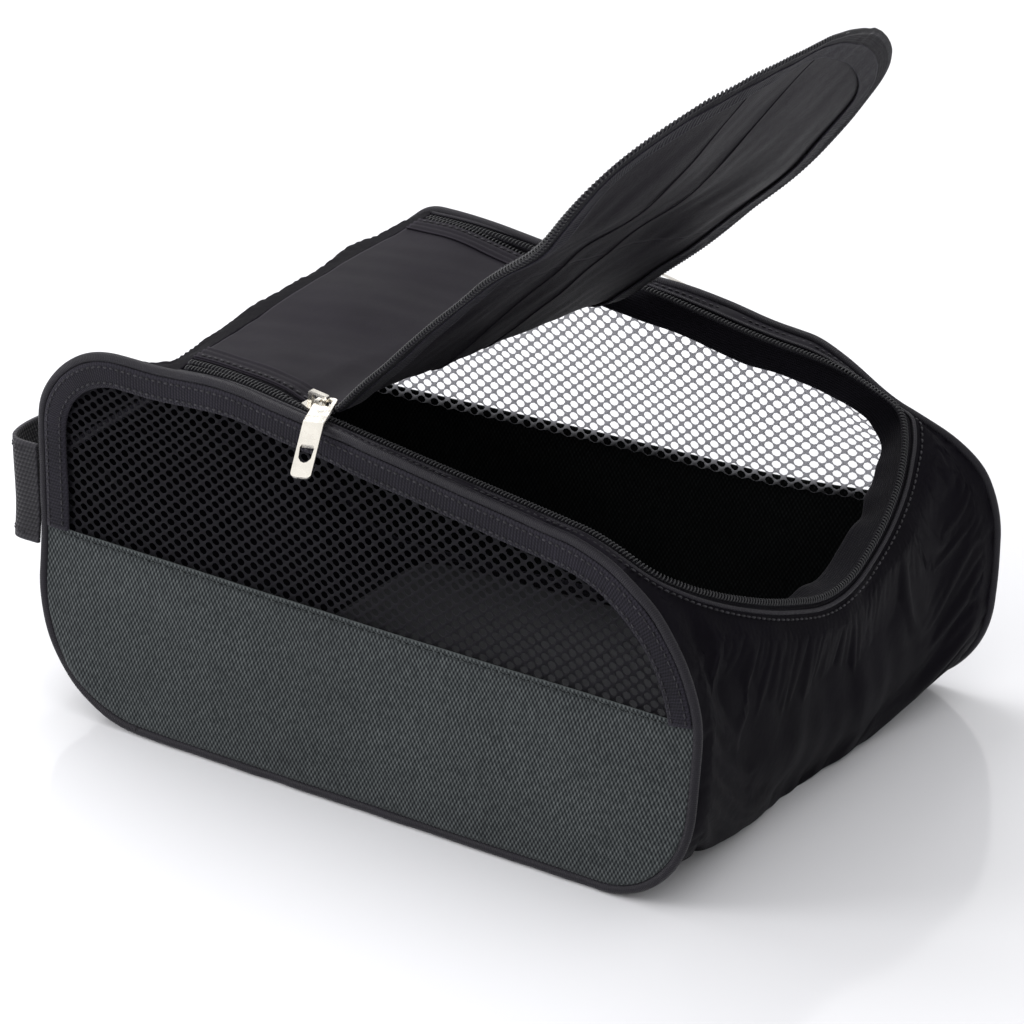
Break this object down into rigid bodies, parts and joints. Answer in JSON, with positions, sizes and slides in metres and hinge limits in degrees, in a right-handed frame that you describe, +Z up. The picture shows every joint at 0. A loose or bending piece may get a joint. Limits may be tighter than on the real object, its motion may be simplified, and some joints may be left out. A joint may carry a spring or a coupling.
{
  "type": "golf shoe bag",
  "caption": "Soft shoe bag with mesh side windows, woven lower panels, piped edges, a heel handle and a fold-back zipped flap over the top opening.",
  "frame": {"origin": "on the ground under the middle of the base", "axes": "+X towards the toe end of the bag, +Y from the side with the visible zip pull to the other side, +Z up"},
  "size_m": [0.359, 0.2581, 0.3221],
  "materials": {
    "woven_lower": "coarse woven polyester, dark grey-green",
    "mesh": "open knitted air mesh, black",
    "binding": "ribbed tape, black",
    "piping": "corded piping, black",
    "nylon": "smooth fine woven nylon, black",
    "board": "matte sheet",
    "zip_tape": "herringbone tape, black",
    "zip_coil": "nylon coil, satin black",
    "webbing": "ribbed webbing, black",
    "nickel": "bright nickel plate"
  },
  "bodies": {
    "bag": {"near_lower_panel": "woven_lower", "far_lower_panel": "woven_lower", "near_mesh_window": "mesh", "far_mesh_window": "mesh", "near_window_binding": "binding", "far_window_binding": "binding", "near_seam_binding": "binding", "far_seam_binding": "binding", "heel_seam_binding": "binding", "near_piping": "piping", "far_piping": "piping", "heel_gusset": "nylon", "toe_gusset": "nylon", "base_panel": "nylon", "near_top_strip": "nylon", "far_top_strip": "nylon", "flap_heel_panel": "nylon", "base_board": "board", "zip_tape_bag": "zip_tape", "zip_tape_flap_heel": "zip_tape", "zip_coil_bag": "zip_coil", "zip_coil_flap_heel": "zip_coil", "heel_handle": "webbing"},
    "flap_middle": {"flap_middle_panel": "nylon", "zip_tape_flap_middle": "zip_tape", "zip_coil_flap_middle": "zip_coil"},
    "flap_toe": {"flap_toe_panel": "nylon", "zip_tape_flap_toe": "zip_tape", "zip_coil_flap_toe": "zip_coil"},
    "near_slider": {"near_slider": "nickel"},
    "far_slider": {"far_slider": "nickel"},
    "near_pull": {"near_pull": "nickel"},
    "far_pull": {"far_pull": "nickel"}
  },
  "joints": [
    {"name": "flap_fold", "type": "hinge", "parent": "bag", "child": "flap_middle", "pos_m": [-0.017, 0, 0.17571], "axis": [0.1458, 0.9893, 0], "range_deg": [-9.5, 52.5]},
    {"name": "flap_curl", "type": "hinge", "parent": "flap_middle", "child": "flap_toe", "pos_m": [0.07428, 0.00688, 0.27927], "axis": [-0.0085, 0.9803, -0.1972], "range_deg": [-7.8, 42.5]},
    {"name": "near_zip_slide", "type": "slide", "parent": "bag", "child": "near_slider", "axis": [0.991, -0.0257, -0.131], "range_m": [-0.0225, 0.1242]},
    {"name": "far_zip_slide", "type": "slide", "parent": "bag", "child": "far_slider", "axis": [0.9894, 0.063, -0.1308], "range_m": [-0.0186, 0.1022]},
    {"name": "near_pull_swing", "type": "hinge", "parent": "near_slider", "child": "near_pull", "pos_m": [-0.02575, -0.09383, 0.16611], "axis": [-0.9489, -0.3156, 0], "range_deg": [0, 29]},
    {"name": "far_pull_swing", "type": "hinge", "parent": "far_slider", "child": "far_pull", "pos_m": [-0.00376, 0.08989, 0.1632], "axis": [0.9489, -0.3156, 0], "range_deg": [0, 24]}
  ],
  "couplings": [
    {"joint": "flap_curl", "follows": "flap_fold", "ratio": 0.8095},
    {"joint": "near_zip_slide", "follows": "flap_fold", "m_per_rad": 0.1354},
    {"joint": "far_zip_slide", "follows": "flap_fold", "m_per_rad": 0.1114}
  ]
}
